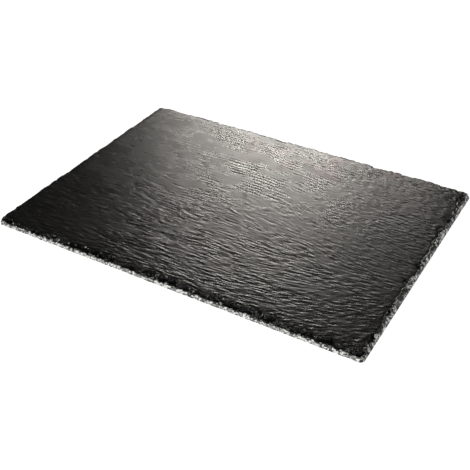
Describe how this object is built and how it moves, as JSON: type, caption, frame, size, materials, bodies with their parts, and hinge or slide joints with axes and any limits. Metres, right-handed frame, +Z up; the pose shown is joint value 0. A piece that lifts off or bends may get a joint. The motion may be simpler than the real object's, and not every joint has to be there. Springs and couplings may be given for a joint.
{
  "type": "slate slab",
  "caption": "Thin rectangular slab of riven black slate with hand-chipped edges, that lies flat to serve or display food or other things.",
  "frame": {"origin": "middle of the underside, on the surface that the slab lies on", "axes": "+X along the long side, +Y along the short side towards the back edge, +Z up out of the riven top face"},
  "size_m": [0.4, 0.295, 0.0057],
  "materials": {
    "slate": "riven, satin sheen on the cleavage face, pale and crushed along the trimmed edges"
  },
  "bodies": {
    "root": {"slate_slab": "slate"}
  },
  "joints": []
}
